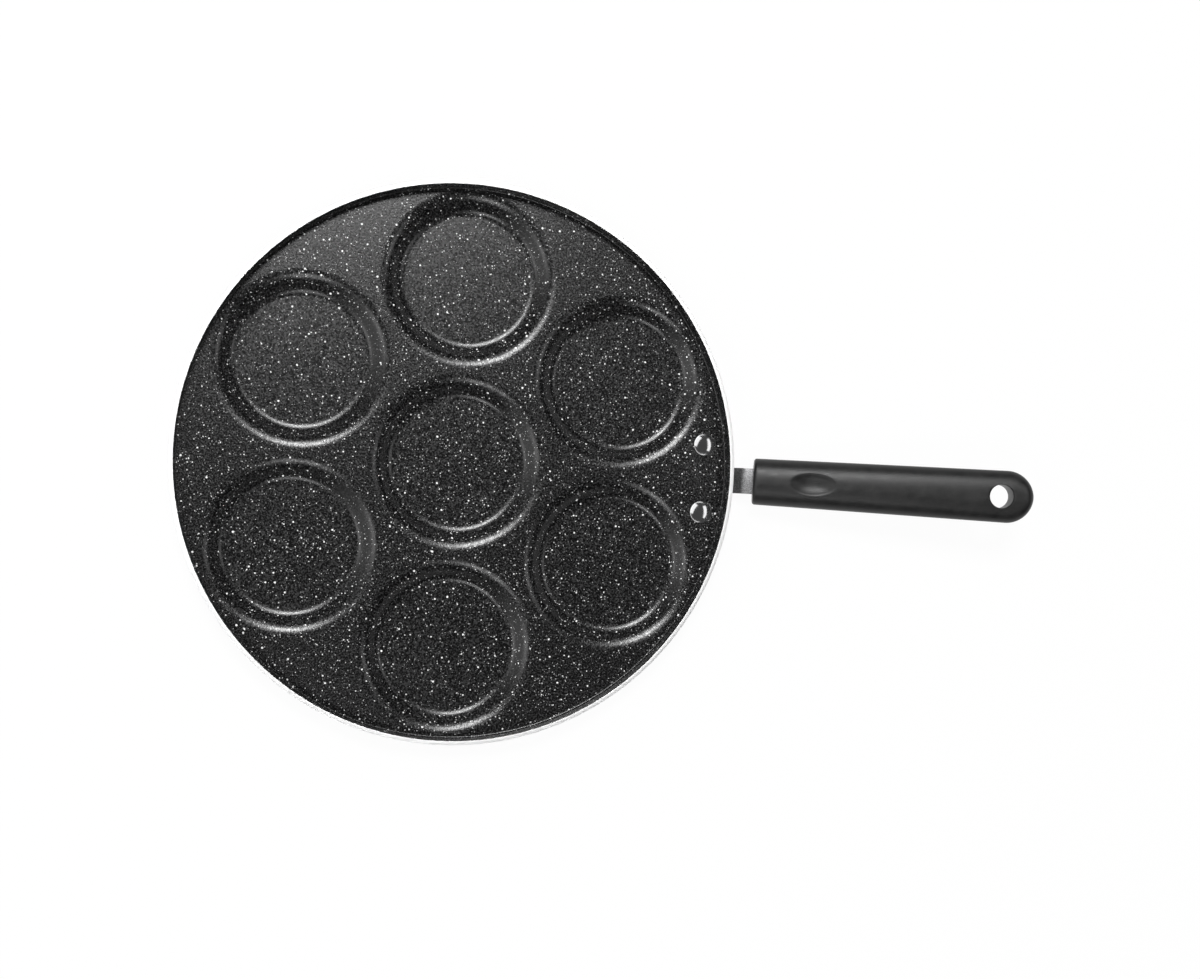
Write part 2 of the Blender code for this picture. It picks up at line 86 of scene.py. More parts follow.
# Grip
GRIP_LENGTH = 153.4 * MM
GRIP_SLOPE_FRONT = math.radians(12.5)
GRIP_SLOPE_TIP = math.radians(9.5)
GRIP_FRONT_WIDTH = 25.4 * MM
GRIP_TIP_WIDTH = 29.0 * MM
GRIP_FRONT_HEIGHT = 18.0 * MM
GRIP_TIP_HEIGHT = 14.0 * MM
GRIP_SQUARENESS = 2.5
GRIP_FRONT_ROUND = 1.5 * MM
GRIP_TIP_ROUND = 5.0 * MM
HANG_HOLE = 12.8 * MM
HANG_HOLE_FROM_TIP = 18.3 * MM
HANG_HOLE_FLARE = 1.2 * MM
THUMB_LENGTH = 24.1 * MM
THUMB_WIDTH = 13.5 * MM
THUMB_DEPTH = 2.0 * MM
THUMB_FROM_FRONT = 32.6 * MM
THUMB_BOWL = 6.0 * MM
THUMB_EDGE_BLEND = 0.5 * MM

# Screw
SCREW_FROM_FRONT = 19.6 * MM
SCREW_SHANK = 4.0 * MM
SCREW_PAST_TANG = 2.0 * MM
SCREW_HEAD = 7.4 * MM
SCREW_HEAD_HEIGHT = 2.4 * MM
SCREW_HEAD_ROUND = 1.1 * MM
SCREW_TIP_CHAMFER = 0.6 * MM
SCREW_FLOOR = 3.0 * MM
DRIVE_LENGTH = 4.4 * MM
DRIVE_WIDTH = 0.9 * MM
DRIVE_DEPTH = 1.4 * MM

# How finely the curved faces are cut
MOULD_SIDES = 144
FLOOR_FILLET_STEPS = 6
SHOULDER_STEPS = 12
WALL_FILLET_STEPS = 4
WALL_SIDES = 480
MESH_MARGIN = 0.05 * MM
ROUND_SIDES = 96
HOLE_SIDES = 48
DOME_STEPS = 20
TAIL_STEPS = 12
WING_STEPS = 24
NECK_FILLET_STEPS = 10
TANG_CORNER_STEPS = 8
BEND_STEPS = 10
GRIP_SIDES = 128
GRIP_FRONT_STEPS = 10
GRIP_TIP_STEPS = 36
GRIP_STEP = 1.5 * MM
GRIP_TIP_MARGIN = 0.5 * MM
THUMB_STEP = 0.45 * MM
THUMB_MARGIN = 2.0 * MM
LIP_STEPS = 10
SCREW_EDGE_STEPS = 10
BEVEL_STEPS = 3
RIVET_BEVEL_STEPS = 2

# A triangle whose middle lies within this share of a hole's radius is left out
HOLE_SHARE = 0.99

# Edges that turn by more than these degrees stay sharp or are rounded
SHARP = 40.0
PAN_SHARP = 50.0
BRACKET_SHARP = 60.0
GRIP_SHARP = 35.0

# Finishes, with sizes in millimetres
SPECK_SOFT_EDGE = 0.12
WANDER_SIZE = 0.7
WANDER_REACH = 0.5
RIM_RAGGED = 0.12
RIM_RING_PITCH = 0.12
UNIT = (0.0, 1.0)
MOST_NOISE = (0.3, 0.7)

# Floor reach in metres, and how much of its look is its own white glow
FLOOR_REACH = 15.0
FLOOR_GLOW = 0.96

# World: a pale band up to one height on the unit sphere, and a dark sky from another
BAND_TOP = 0.26
BAND_GREY = 0.95
SKY_START = 0.36
SKY_GREY = 0.055

# Lamps: azimuth and zenith in degrees, distance and size in metres, radiance
LAMPS = {
    "key": (99, 26, 2.50, (0.72, 0.62), 35.0),
    "left": (193, 36, 2.50, (0.90, 0.60), 4.2),
    "left_panel": (193, 54, 2.50, (1.70, 1.30), 0.6),
    "left_wide": (193, 52, 2.50, (3.60, 1.60), 0.6),
    "front": (262, 27, 2.50, (0.55, 0.50), 10.5),
    "far_right": (3, 32, 2.50, (0.50, 0.50), 5.0),
}
PANELS = {
    "right": (3, 48, 2.00, (3.20, 1.25), 1.0),
    "side_panel": (150, 57, 1.20, (1.80, 0.80), 1.0),
}

# Camera, with its sensor and lens in millimetres and the rest in metres
CAMERA_SENSOR = 36.0
CAMERA_LENS = 51.3528
CAMERA_NEAR = 0.05
CAMERA_FAR = 60.0
CAMERA_PLACE = (-0.0840535, -0.0180154, 0.9243446)
CAMERA_TURN = (0.995681, 0.0018144, -0.087574, 0.030772)

# Worked out from the sizes above
DECK_Z = SHEET + MOULD_DEPTH
RIM_Z = DECK_Z + WALL_HEIGHT
RIM_INNER = RIM_RADIUS - SHEET / math.cos(WALL_DRAFT)
WALL_FOOT = RIM_INNER - WALL_HEIGHT * math.tan(WALL_DRAFT)
WALL_SLOPE = math.pi / 2 - WALL_DRAFT
FILLET_START = WALL_FOOT - WALL_FOOT_FILLET * math.tan(WALL_SLOPE / 2)
FILLET_LENGTH = WALL_FOOT_FILLET * WALL_SLOPE
FILLET_RISE = WALL_FOOT_FILLET * (1 - math.cos(WALL_SLOPE))
RIM_REACH = FILLET_START + FILLET_LENGTH + (WALL_HEIGHT - FILLET_RISE) / math.sin(WALL_SLOPE)
MOULD_MOUTH_RADIUS = MOULD_FLOOR_RADIUS + MOULD_DEPTH / math.tan(MOULD_WALL_ANGLE)
FLOOR_FLAT = MOULD_FLOOR_RADIUS - MOULD_FLOOR_FILLET * math.tan(MOULD_WALL_ANGLE / 2)
MOULD_EDGE = MOULD_MOUTH_RADIUS + MOULD_SHOULDER * math.tan(MOULD_WALL_ANGLE / 2)
MOULD_PITCH = WALL_FOOT - DECK_RING - MOULD_EDGE
RIVET_X = RIM_RADIUS - RIVET_FROM_RIM
RIVET_HOLE = RIVET_SHANK + 2 * HOLE_CLEARANCE
SCREW_HOLE = SCREW_SHANK + 2 * HOLE_CLEARANCE


# Mesh helpers

def add_object(name, data):
    """Put a mesh, lamp or camera into the scene as an object."""
    made = bpy.data.objects.new(name, data)
    bpy.context.scene.collection.objects.link(made)
    return made


def closed_mesh(name, bm):
    """Turn a bmesh into a mesh with its faces pointing out."""
    bmesh.ops.recalc_face_normals(bm, faces=bm.faces)
    mesh = bpy.data.meshes.new(name)
    bm.to_mesh(mesh)
    bm.free()
    return mesh


def shade(mesh, sharp):
    """Shade a mesh smooth, apart from edges that turn by more than sharp degrees."""
    mesh.shade_smooth()
    mesh.set_sharp_from_angle(angle=math.radians(sharp))


def add_piece(name, bm, materials, node, sharp=SHARP):
    """Make a piece of a bmesh that stands for one CAD node."""
    mesh = closed_mesh(name, bm)
    shade(mesh, sharp)
    for material in materials:
        mesh.materials.append(material)
    piece = add_object(name, mesh)
    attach(piece, "root")
    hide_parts(node)
    return piece


def cut(target, bm):
    """Take a solid away from a piece at once, and keep the result in its mesh."""
    cutter = add_object("cutter", closed_mesh("cutter", bm))
    modifier = target.modifiers.new("cut", "BOOLEAN")
    modifier.operation = "DIFFERENCE"
    modifier.solver = "EXACT"
    modifier.object = cutter
    apply_modifiers(target)
    bpy.data.objects.remove(cutter, do_unlink=True)


def apply_modifiers(piece):
    """Make what the modifiers show into the piece's own mesh."""
    graph = bpy.context.evaluated_depsgraph_get()
    graph.update()
    made = bpy.data.meshes.new_from_object(piece.evaluated_get(graph))
    piece.modifiers.clear()
    old = piece.data
    piece.data = made
    bpy.data.meshes.remove(old)


def round_edges(piece, width, angle, segments=BEVEL_STEPS):
    """Round the edges that turn by more than angle degrees."""
    bevel = piece.modifiers.new("round_edges", "BEVEL")
    bevel.width = width
    bevel.segments = segments
    bevel.limit_method = "ANGLE"
    bevel.angle_limit = math.radians(angle)
    apply_modifiers(piece)
    shade(piece.data, angle)


def turned(profile, sides, matrix):
    """Spin a profile of (radius, height) points round Z, then move it by a matrix."""
    bm = bmesh.new()
    line = [bm.verts.new((radius, 0, height)) for radius, height in profile]
    edges = [bm.edges.new(pair) for pair in zip(line, line[1:])]
    bmesh.ops.spin(
        bm,
        geom=line + edges,
        cent=(0, 0, 0),
        axis=(0, 0, 1),
        dvec=(0, 0, 0),
        angle=2 * math.pi,
        steps=sides,
        use_merge=True,
    )
    bmesh.ops.remove_doubles(bm, verts=bm.verts, dist=WELD)
    bm.transform(matrix)
    return bm


def box(size, matrix):
    """A box of one size about the origin, then moved by a matrix."""
    bm = bmesh.new()
    bmesh.ops.create_cube(bm, size=1.0)
    bmesh.ops.scale(bm, vec=size, verts=bm.verts)
    bm.transform(matrix)
    return bm


def upward(slope):
    """The direction square to a line that climbs at a slope along +X."""
    return Vector((-math.sin(slope), 0, math.cos(slope)))


def frame_at(place, slope):
    """A matrix that moves the origin to a place and tilts X up by a slope."""
    return Matrix.Translation(place) @ Matrix.Rotation(-slope, 4, "Y")


def arc(centre, radius, start, end, steps):
    """Points along an arc from one angle to another, both ends included."""
    points = []
    for step in range(steps + 1):
        angle = start + (end - start) * step / steps
        points.append((centre[0] + radius * math.cos(angle), centre[1] + radius * math.sin(angle)))
    return points


def circle(centre, radius, sides):
    return arc(centre, radius, 0, 2 * math.pi, sides)[:-1]


def smooth_min(a, b, blend):
    """The smaller of two heights, rounded over where they are closer than blend."""
    overlap = max(blend - abs(a - b), 0.0) / blend
    return min(a, b) - overlap * overlap * blend / 4


class Plan:
    """Points and lines of a flat pattern, before it is cut into triangles."""

    def __init__(self):
        self.points = []
        self.edges = []

    def line(self, points, closed=False):
        """Add points joined in a row, and the last to the first where closed."""
        start = len(self.points)
        count = len(points)
        self.points += [Vector(point) for point in points]
        for index in range(count if closed else count - 1):
            self.edges.append((start + index, start + (index + 1) % count))

    def ring(self, centre, radius, sides):
        self.line(circle(centre, radius, sides), closed=True)


def in_hole(holes, u, v):
    """Whether a triangle's middle lies in one of the holes, each a centre and a radius."""
    return any(math.dist(centre, (u, v)) < radius * HOLE_SHARE for centre, radius in holes)


def pressed_sheet(plan, kept, skins, back_material=0):
    """Cut a flat pattern into triangles and press it into a sheet with two skins.

    kept says whether the triangle round a point belongs to the sheet, and skins gives
    the front and back places of a point of the pattern.
    """
    found = delaunay_2d_cdt(plan.points, plan.edges, [], 0, WELD)
    flat, triangles = found[0], found[2]
    bm = bmesh.new()
    pairs = {}

    def pair(index):
        if index not in pairs:
            front, back = skins(*flat[index])
            pairs[index] = (bm.verts.new(front), bm.verts.new(back))
        return pairs[index]

    borders = set()
    for triangle in triangles:
        u = sum(flat[index][0] for index in triangle) / 3
        v = sum(flat[index][1] for index in triangle) / 3
        if not kept(u, v):
            continue
        corners = [pair(index) for index in triangle]
        bm.faces.new([front for front, _ in corners])
        bm.faces.new([back for _, back in reversed(corners)]).material_index = back_material
        for first, second in zip(triangle, triangle[1:] + triangle[:1]):
            if (second, first) in borders:
                borders.remove((second, first))
            else:
                borders.add((first, second))
    for first, second in sorted(borders):
        front_a, back_a = pairs[first]
        front_b, back_b = pairs[second]
        bm.faces.new((front_b, front_a, back_a, back_b))
    return bm


# Material helpers

class Finish:
    """One material and its nodes. Every size is in millimetres."""

    def __init__(self, name):
        self.material = bpy.data.materials.new(name)
        self.material.use_nodes = True
        self.tree = self.material.node_tree
        self.shader = self.tree.nodes["Principled BSDF"]
        self.place = self.add("ShaderNodeTexCoord").outputs["Object"]

    def add(self, kind, inputs=None, **settings):
        """Add a node with its settings, then link or fill its inputs."""
        made = self.tree.nodes.new(kind)
        for key, value in settings.items():
            setattr(made, key, value)
        for key, value in (inputs or {}).items():
            self.put(made.inputs[key], value)
        return made

    def put(self, socket, value):
        """Link a socket to another one, or give it a constant."""
        if isinstance(value, bpy.types.NodeSocket):
            self.tree.links.new(value, socket)
        else:
            socket.default_value = value

    def set(self, **values):
        """Fill inputs of the shader, named with _ for each space."""
        for key, value in values.items():
            self.put(self.shader.inputs[key.replace("_", " ")], value)

    def calc(self, operation, a, b, clamp=False):
        made = self.add("ShaderNodeMath", {0: a, 1: b}, operation=operation, use_clamp=clamp)
        return made.outputs[0]

    def noise(self, size, detail=2.0, roughness=0.5, stretch=None):
        place = self.place
        if stretch:
            place = self.add("ShaderNodeMapping", {"Vector": place, "Scale": stretch}).outputs[0]
        made = self.add(
            "ShaderNodeTexNoise",
            {"Vector": place, "Scale": 1 / (size * MM), "Detail": detail, "Roughness": roughness},
        )
        return made.outputs["Fac"]

    def spread(self, value, given, wanted):
        """Map one range of values onto another, and hold it at both ends."""
        made = self.add(
            "ShaderNodeMapRange",
            {
                "Value": value,
                "From Min": given[0],
                "From Max": given[1],
                "To Min": wanted[0],
                "To Max": wanted[1],
            },
        )
        return made.outputs[0]

    def mix(self, share, first, second):
        """A number between two. A Mix node has its numbers in sockets 2 and 3."""
        return self.add("ShaderNodeMix", {0: share, 2: first, 3: second}).outputs[0]

    def blend(self, share, first, second):
        """A colour between two. A Mix node has its colours in sockets 6 and 7."""
        made = self.add("ShaderNodeMix", {0: share, 6: first, 7: second}, data_type="RGBA")
        return made.outputs[2]

    def specks(self, place, cell, smallest, largest, dimmest):
        """Specks of random size and brightness, each round one point of a random cell."""
        cells = self.add(
            "ShaderNodeTexVoronoi",
            {"Vector": place, "Scale": 1 / (cell * MM), "Randomness": 1.0},
        )
        random = self.add("ShaderNodeSeparateColor", {"Color": cells.outputs["Color"]})
        reach = self.spread(random.outputs[0], UNIT, (smallest / cell, largest / cell))
        over = self.calc("SUBTRACT", reach, cells.outputs["Distance"])
        shown = self.calc("MULTIPLY", over, cell / SPECK_SOFT_EDGE, clamp=True)
        bright = self.spread(random.outputs[1], UNIT, (dimmest, 1.0))
        return self.calc("MULTIPLY", shown, bright)

    def relief(self, height, depth):
        """A bump whose full height is depth."""
        made = self.add("ShaderNodeBump", {"Height": height, "Distance": depth * MM, "Strength": 1.0})
        self.put(self.shader.inputs["Normal"], made.outputs[0])


def grey(value, blue=None):
    """A grey colour, with a blue of its own where one is given."""
    return (value, value, value if blue is None else blue, 1.0)


def coat_specks(f):
    """Mineral specks of three sizes, with outlines that wander."""
    wander = f.add(
        "ShaderNodeTexNoise",
        {"Vector": f.place, "Scale": 1 / (WANDER_SIZE * MM), "Detail": 1.0},
    ).outputs["Color"]
    shift = f.add(
        "ShaderNodeVectorMath", {0: wander, "Scale": WANDER_REACH * MM}, operation="SCALE"
    ).outputs[0]
    place = f.add("ShaderNodeVectorMath", {0: f.place, 1: shift}, operation="ADD").outputs[0]
    coarse = f.specks(place, cell=4.8, smallest=0.38, largest=0.64, dimmest=0.85)
    medium = f.specks(place, cell=2.7, smallest=0.25, largest=0.46, dimmest=0.55)
    fine = f.specks(place, cell=1.3, smallest=0.14, largest=0.29, dimmest=0.25)
    return f.calc("MAXIMUM", f.calc("MAXIMUM", coarse, medium), fine)


def bare_rim(f):
    """Where the rim is bare metal, and the fine rings that turning left in it."""
    split = f.add("ShaderNodeSeparateXYZ", {"Vector": f.place})
    flat = f.add("ShaderNodeCombineXYZ", {"X": split.outputs[0], "Y": split.outputs[1]})
    radius = f.add("ShaderNodeVectorMath", {0: flat.outputs[0]}, operation="LENGTH").outputs["Value"]
    ragged = f.spread(f.noise(1.2), UNIT, (-RIM_RAGGED * MM, RIM_RAGGED * MM))
    out = f.calc("GREATER_THAN", f.calc("ADD", radius, ragged), RIM_INNER + RIM_RAGGED * MM)
    up = f.calc("GREATER_THAN", split.outputs[2], RIM_Z - RIM_EDGE_ROUND)
    bare = f.calc("MULTIPLY", out, up)
    rings = f.add(
        "ShaderNodeTexNoise",
        {"W": f.calc("MULTIPLY", radius, 1 / (RIM_RING_PITCH * MM)), "Detail": 2.0},
        noise_dimensions="1D",
    ).outputs[0]
    return bare, rings


def coat_finish():
    """Dark non-stick coat with pale mineral specks, and the bare turned metal of the rim."""
    f = Finish("stone_coat")
    specks = coat_specks(f)
    grain = f.noise(0.95, detail=2.0, roughness=0.6)
    base = f.blend(f.spread(grain, (0.50, 0.80), UNIT), grey(0.0003, 0.0004), grey(0.040, 0.041))
    coat = f.blend(specks, base, grey(0.95))
    bare, rings = bare_rim(f)
    coat_rough = f.spread(grain, (0.36, 0.64), (0.182, 0.355))
    rim_rough = f.spread(rings, MOST_NOISE, (0.44, 0.54))
    coat_height = f.calc("ADD", f.calc("MULTIPLY", grain, 0.7), f.calc("MULTIPLY", specks, 0.3))
    rim_height = f.calc("MULTIPLY", rings, 0.2)
    colour = f.blend(bare, coat, grey(0.76))
    f.set(Base_Color=colour, Roughness=f.mix(bare, coat_rough, rim_rough), Metallic=bare)
    f.relief(f.mix(bare, coat_height, rim_height), 0.09)
    return f.material


def outer_paint():
    """Plain dark heat-resistant paint on the outside, with a fine orange peel."""
    f = Finish("outer_paint")
    cloud = f.noise(14.0, detail=4.0)
    colour = f.blend(cloud, grey(0.012, 0.013), grey(0.020, 0.021))
    f.set(Base_Color=colour, Roughness=f.spread(f.noise(5.0, detail=3.0), MOST_NOISE, (0.36, 0.48)))
    f.relief(f.noise(1.1, detail=2.0), 0.03)
    return f.material


def polished_metal():
    """Polished aluminium with light handling marks."""
    f = Finish("rivet_metal")
    smudge = f.noise(3.0, detail=4.0)
    colour = f.blend(smudge, grey(0.80, 0.81), grey(0.92, 0.93))
    f.set(Base_Color=colour, Metallic=1.0, Roughness=f.spread(smudge, MOST_NOISE, (0.12, 0.18)))
    f.relief(f.noise(0.5, detail=2.0, stretch=(1.0, 5.0, 1.0)), 0.004)
    return f.material


def plated_steel():
    """Zinc-plated strip with a fine bright grain."""
    f = Finish("bracket_steel")
    grain = f.noise(0.7, detail=3.0, roughness=0.7)
    cloud = f.noise(4.0, detail=3.0)
    colour = f.blend(f.spread(grain, MOST_NOISE, UNIT), grey(0.07, 0.072), grey(0.34, 0.345))
    f.set(Base_Color=colour, Metallic=0.7, Roughness=f.spread(cloud, MOST_NOISE, (0.40, 0.52)))
    f.relief(grain, 0.05)
    return f.material


def moulded_plastic():
    """Matte charcoal plastic with a fine spark-eroded grain."""
    f = Finish("grip_plastic")
    grain = f.noise(0.6, detail=2.0, roughness=0.6)
    cloud = f.noise(5.0, detail=4.0, roughness=0.6)
    colour = f.blend(f.spread(cloud, MOST_NOISE, UNIT), grey(0.002), grey(0.010))
    rough = f.spread(cloud, MOST_NOISE, (0.38, 0.46))
    f.set(Base_Color=colour, Roughness=rough, Specular_IOR_Level=0.40)
    f.relief(grain, 0.03)
    return f.material


def screw_metal():
    """Plain steel with a fine grain."""
    f = Finish("screw_steel")
    grain = f.noise(0.6, detail=3.0)
    colour = f.blend(grain, grey(0.48, 0.49), grey(0.66))
    f.set(Base_Color=colour, Metallic=1.0, Roughness=f.spread(grain, MOST_NOISE, (0.24, 0.36)))
    f.relief(grain, 0.008)
    return f.material


# The pan

def mould_centres():
    """One mould in the middle and the others evenly round it."""
    centres = [(0.0, 0.0)]
    for index in range(MOULDS_ROUND):
        angle = 2 * math.pi * (index + 0.5) / MOULDS_ROUND
        centres.append((MOULD_PITCH * math.cos(angle), MOULD_PITCH * math.sin(angle)))
    return centres


MOULD_CENTRES = mould_centres()


def mould_profile(distance):
    """How far a mould lies below the deck, and its slope, at a distance from its centre."""
    bend_end = FLOOR_FLAT + MOULD_FLOOR_FILLET * math.sin(MOULD_WALL_ANGLE)
    shoulder_start = MOULD_EDGE - MOULD_SHOULDER * math.sin(MOULD_WALL_ANGLE)
    if distance <= FLOOR_FLAT:
        return MOULD_DEPTH, 0.0
    if distance < bend_end:
        slope = math.asin((distance - FLOOR_FLAT) / MOULD_FLOOR_FILLET)
        return MOULD_DEPTH - MOULD_FLOOR_FILLET * (1 - math.cos(slope)), slope
    if distance < shoulder_start:
        return (MOULD_MOUTH_RADIUS - distance) * math.tan(MOULD_WALL_ANGLE), MOULD_WALL_ANGLE
    if distance < MOULD_EDGE:
        slope = math.asin((MOULD_EDGE - distance) / MOULD_SHOULDER)
        return MOULD_SHOULDER * (1 - math.cos(slope)), slope
    return 0.0, 0.0


def wall_profile(reach):
    """Radius, height above the deck and slope of the wall's inner face at a reach."""
    bent = min(reach - FILLET_START, FILLET_LENGTH)
    slope = bent / WALL_FOOT_FILLET
    climbed = reach - FILLET_START - bent
    radius = FILLET_START + WALL_FOOT_FILLET * math.sin(slope) + climbed * math.cos(slope)
    rise = WALL_FOOT_FILLET * (1 - math.cos(slope)) + climbed * math.sin(slope)
    return radius, rise, slope


def pan_skins(u, v):
    """The inner face at a point of the flat sheet, and the outer face one sheet away."""
    reach = math.hypot(u, v)
    if reach > RIM_REACH - WELD:
        out = Vector((u, v, 0)) / reach
        top = Vector((0, 0, RIM_Z))
        return top + out * RIM_INNER, top + out * RIM_RADIUS
    if reach > FILLET_START:
        centre = Vector((0, 0, DECK_Z))
        radius, rise, slope = wall_profile(reach)
        out = Vector((u, v, 0)) / reach
    else:
        mould = min(MOULD_CENTRES, key=lambda place: math.dist(place, (u, v)))
        centre = Vector((*mould, DECK_Z))
        out = Vector((u - mould[0], v - mould[1], 0))
        radius = out.length
        out.normalize()
        sink, slope = mould_profile(radius)
        rise = -sink
    up = Vector((0, 0, 1))
    inner = centre + out * radius + up * rise
    normal = up * math.cos(slope) - out * math.sin(slope)
    return inner, inner - normal * SHEET


def mould_rings():
    """Radii of the rings that a mould's fillet and shoulder are cut into."""
    rings = [FLOOR_FLAT - MESH_MARGIN]
    for step in range(FLOOR_FILLET_STEPS + 1):
        slope = MOULD_WALL_ANGLE * step / FLOOR_FILLET_STEPS
        rings.append(FLOOR_FLAT + MOULD_FLOOR_FILLET * math.sin(slope))
    for step in range(SHOULDER_STEPS + 1):
        slope = MOULD_WALL_ANGLE * (1 - step / SHOULDER_STEPS)
        rings.append(MOULD_EDGE - MOULD_SHOULDER * math.sin(slope))
    return rings + [MOULD_EDGE + MESH_MARGIN]


def wall_rings():
    """Reaches of the rings that the wall and its foot are cut into."""
    rings = [FILLET_START - MESH_MARGIN]
    for step in range(WALL_FILLET_STEPS + 1):
        rings.append(FILLET_START + FILLET_LENGTH * step / WALL_FILLET_STEPS)
    return rings + [(rings[-1] + RIM_REACH) / 2, RIM_REACH]


def make_pan():
    plan = Plan()
    for centre in MOULD_CENTRES:
        for ring in mould_rings():
            plan.ring(centre, ring, MOULD_SIDES)
    for ring in wall_rings():
        plan.ring((0, 0), ring, WALL_SIDES)
    holes = [((RIVET_X, side * RIVET_SPACING / 2), RIVET_HOLE / 2) for side in (-1, 1)]
    for centre, radius in holes:
        plan.ring(centre, radius, HOLE_SIDES)

    def kept(u, v):
        return not in_hole(holes, u, v)

    bm = pressed_sheet(plan, kept, pan_skins, back_material=1)
    materials = [coat_finish(), outer_paint()]
    pan = add_piece("pan_pressing", bm, materials, "pan_body", sharp=PAN_SHARP)
    round_edges(pan, RIM_EDGE_ROUND, PAN_SHARP)


# The rivets

def make_rivets(material):
    grip = SHEET + BRACKET_SHEET + 3 * SEAT_GAP
    shank = RIVET_SHANK / 2
    head = RIVET_HEAD / 2
    tail = RIVET_TAIL / 2
    dome_radius = (head**2 + RIVET_HEAD_DOME**2) / (2 * RIVET_HEAD_DOME)
    dome_centre = (0, SEAT_GAP + RIVET_HEAD_EDGE + RIVET_HEAD_DOME - dome_radius)
    dome = arc(dome_centre, dome_radius, math.pi / 2, math.acos(head / dome_radius), DOME_STEPS)
    tail_top = SEAT_GAP - grip
    profile = [(0, dome[0][1])] + dome[1:]
    profile += [(head, SEAT_GAP), (shank, SEAT_GAP), (shank, tail_top)]
    for step in range(TAIL_STEPS):
        angle = math.pi / 2 * step / TAIL_STEPS
        profile.append((tail * math.cos(angle), tail_top - RIVET_TAIL_HEIGHT * math.sin(angle)))
    profile.append((0, tail_top - RIVET_TAIL_HEIGHT))
    made = []
    for name, side in (("left", 1), ("right", -1)):
        place = Matrix.Translation((RIVET_X, side * RIVET_SPACING / 2, DECK_Z))
        bm = turned(profile, ROUND_SIDES, place)
        rivet = add_piece("polished_rivet_" + name, bm, [material], "rivet_" + name)
        round_edges(rivet, RIVET_EDGE_ROUND, SHARP, segments=RIVET_BEVEL_STEPS)
        made.append(rivet)
    return made


# The bracket

PLATE_START = Vector((RIVET_X - BRACKET_EDGE, 0, DECK_Z - SHEET - SEAT_GAP))
NECK_UNBEND = NECK_CLIMB_ANGLE - GRIP_SLOPE_FRONT
BRACKET_PATH = (
    (RIM_RADIUS + NECK_PAST_RIM - PLATE_START.x, 0.0),
    (NECK_BEND * NECK_CLIMB_ANGLE, NECK_CLIMB_ANGLE),
    (NECK_CLIMB, 0.0),
    ((NECK_BEND + BRACKET_SHEET) * NECK_UNBEND, -NECK_UNBEND),
    (NECK_EXPOSED + SEAT_GAP + TANG_LENGTH, 0.0),
)
BRACKET_LENGTH = sum(length for length, turn in BRACKET_PATH)
TANG_START = BRACKET_LENGTH - TANG_LENGTH - SEAT_GAP


def bracket_top(s):
    """Place and slope of the strip's upper face, s along it from its inner edge."""
    place = PLATE_START.copy()
    slope = 0.0
    left = s
    for length, turn in BRACKET_PATH:
        share = min(left / length, 1.0)
        if turn:
            radius = length / turn
            after = slope + turn * share
            across = radius * (math.sin(after) - math.sin(slope))
            up = radius * (math.cos(slope) - math.cos(after))
            slope = after
        else:
            across = length * share * math.cos(slope)
            up = length * share * math.sin(slope)
        place += Vector((across, 0, up))
        left -= length
        if left <= 0:
            break
    return place, slope


def bracket_middle(s):
    """The same, halfway down through the strip."""
    place, slope = bracket_top(s)
    return place - upward(slope) * BRACKET_SHEET / 2, slope


def bend_lines():
    """Where the strip is creased, from the start to the end of each bend."""
    lines = []
    start = 0.0
    for length, turn in BRACKET_PATH:
        if turn:
            lines += [start + length * step / BEND_STEPS for step in range(BEND_STEPS + 1)]
        start += length
    return lines


def bracket_skins(s, y):
    """The upper face at a point of the flat strip, and the lower face one sheet away."""
    place, slope = bracket_top(s)
    front = place + Vector((0, y, 0))
    return front, front - upward(slope) * BRACKET_SHEET


def inside(loop, x, y):
    """Whether a point lies inside a closed loop, by how many sides lie to its right."""
    found = False
    for (x1, y1), (x2, y2) in zip(loop, loop[1:] + loop[:1]):
        if (y1 > y) != (y2 > y) and x < x1 + (y - y1) * (x2 - x1) / (y2 - y1):
            found = not found
    return found


def make_bracket(material):
    half = NECK_WIDTH / 2
    rivet_y = RIVET_SPACING / 2
    bends = bend_lines()
    fillet_centre = (2 * BRACKET_EDGE + NECK_FILLET, half + NECK_FILLET)
    corner_centre = (BRACKET_LENGTH - TANG_CORNER, half - TANG_CORNER)
    wing = arc((BRACKET_EDGE, rivet_y), BRACKET_EDGE, math.pi, 0, WING_STEPS)
    fillet = arc(fillet_centre, NECK_FILLET, math.pi, 1.5 * math.pi, NECK_FILLET_STEPS)
    corner = arc(corner_centre, TANG_CORNER, math.pi / 2, 0, TANG_CORNER_STEPS)
    right = wing + fillet + [(s, half) for s in bends] + corner
    outline = right + [(s, -y) for s, y in reversed(right)]
    holes = [((BRACKET_EDGE, side * rivet_y), RIVET_HOLE / 2) for side in (-1, 1)]
    holes.append(((TANG_START + SCREW_FROM_FRONT, 0), SCREW_HOLE / 2))
    plan = Plan()
    plan.line(outline, closed=True)
    for centre, radius in holes:
        plan.ring(centre, radius, HOLE_SIDES)
    for s in bends:
        plan.line([(s, half), (s, -half)])

    def kept(s, y):
        return inside(outline, s, y) and not in_hole(holes, s, y)

    bm = pressed_sheet(plan, kept, bracket_skins)
    bracket = add_piece("steel_bracket", bm, [material], "handle_bracket")
    round_edges(bracket, BRACKET_EDGE_ROUND, BRACKET_SHARP)


# The grip

def grip_centre(s):
    """Place and slope of the grip's centre line, s along it from its front."""
    start = bracket_middle(TANG_START)[0]
    bend = (GRIP_SLOPE_FRONT - GRIP_SLOPE_TIP) / GRIP_LENGTH
    slope = GRIP_SLOPE_FRONT - bend * s
    mean = (GRIP_SLOPE_FRONT + slope) / 2
    return start + Vector((math.cos(mean), 0, math.sin(mean))) * s, slope


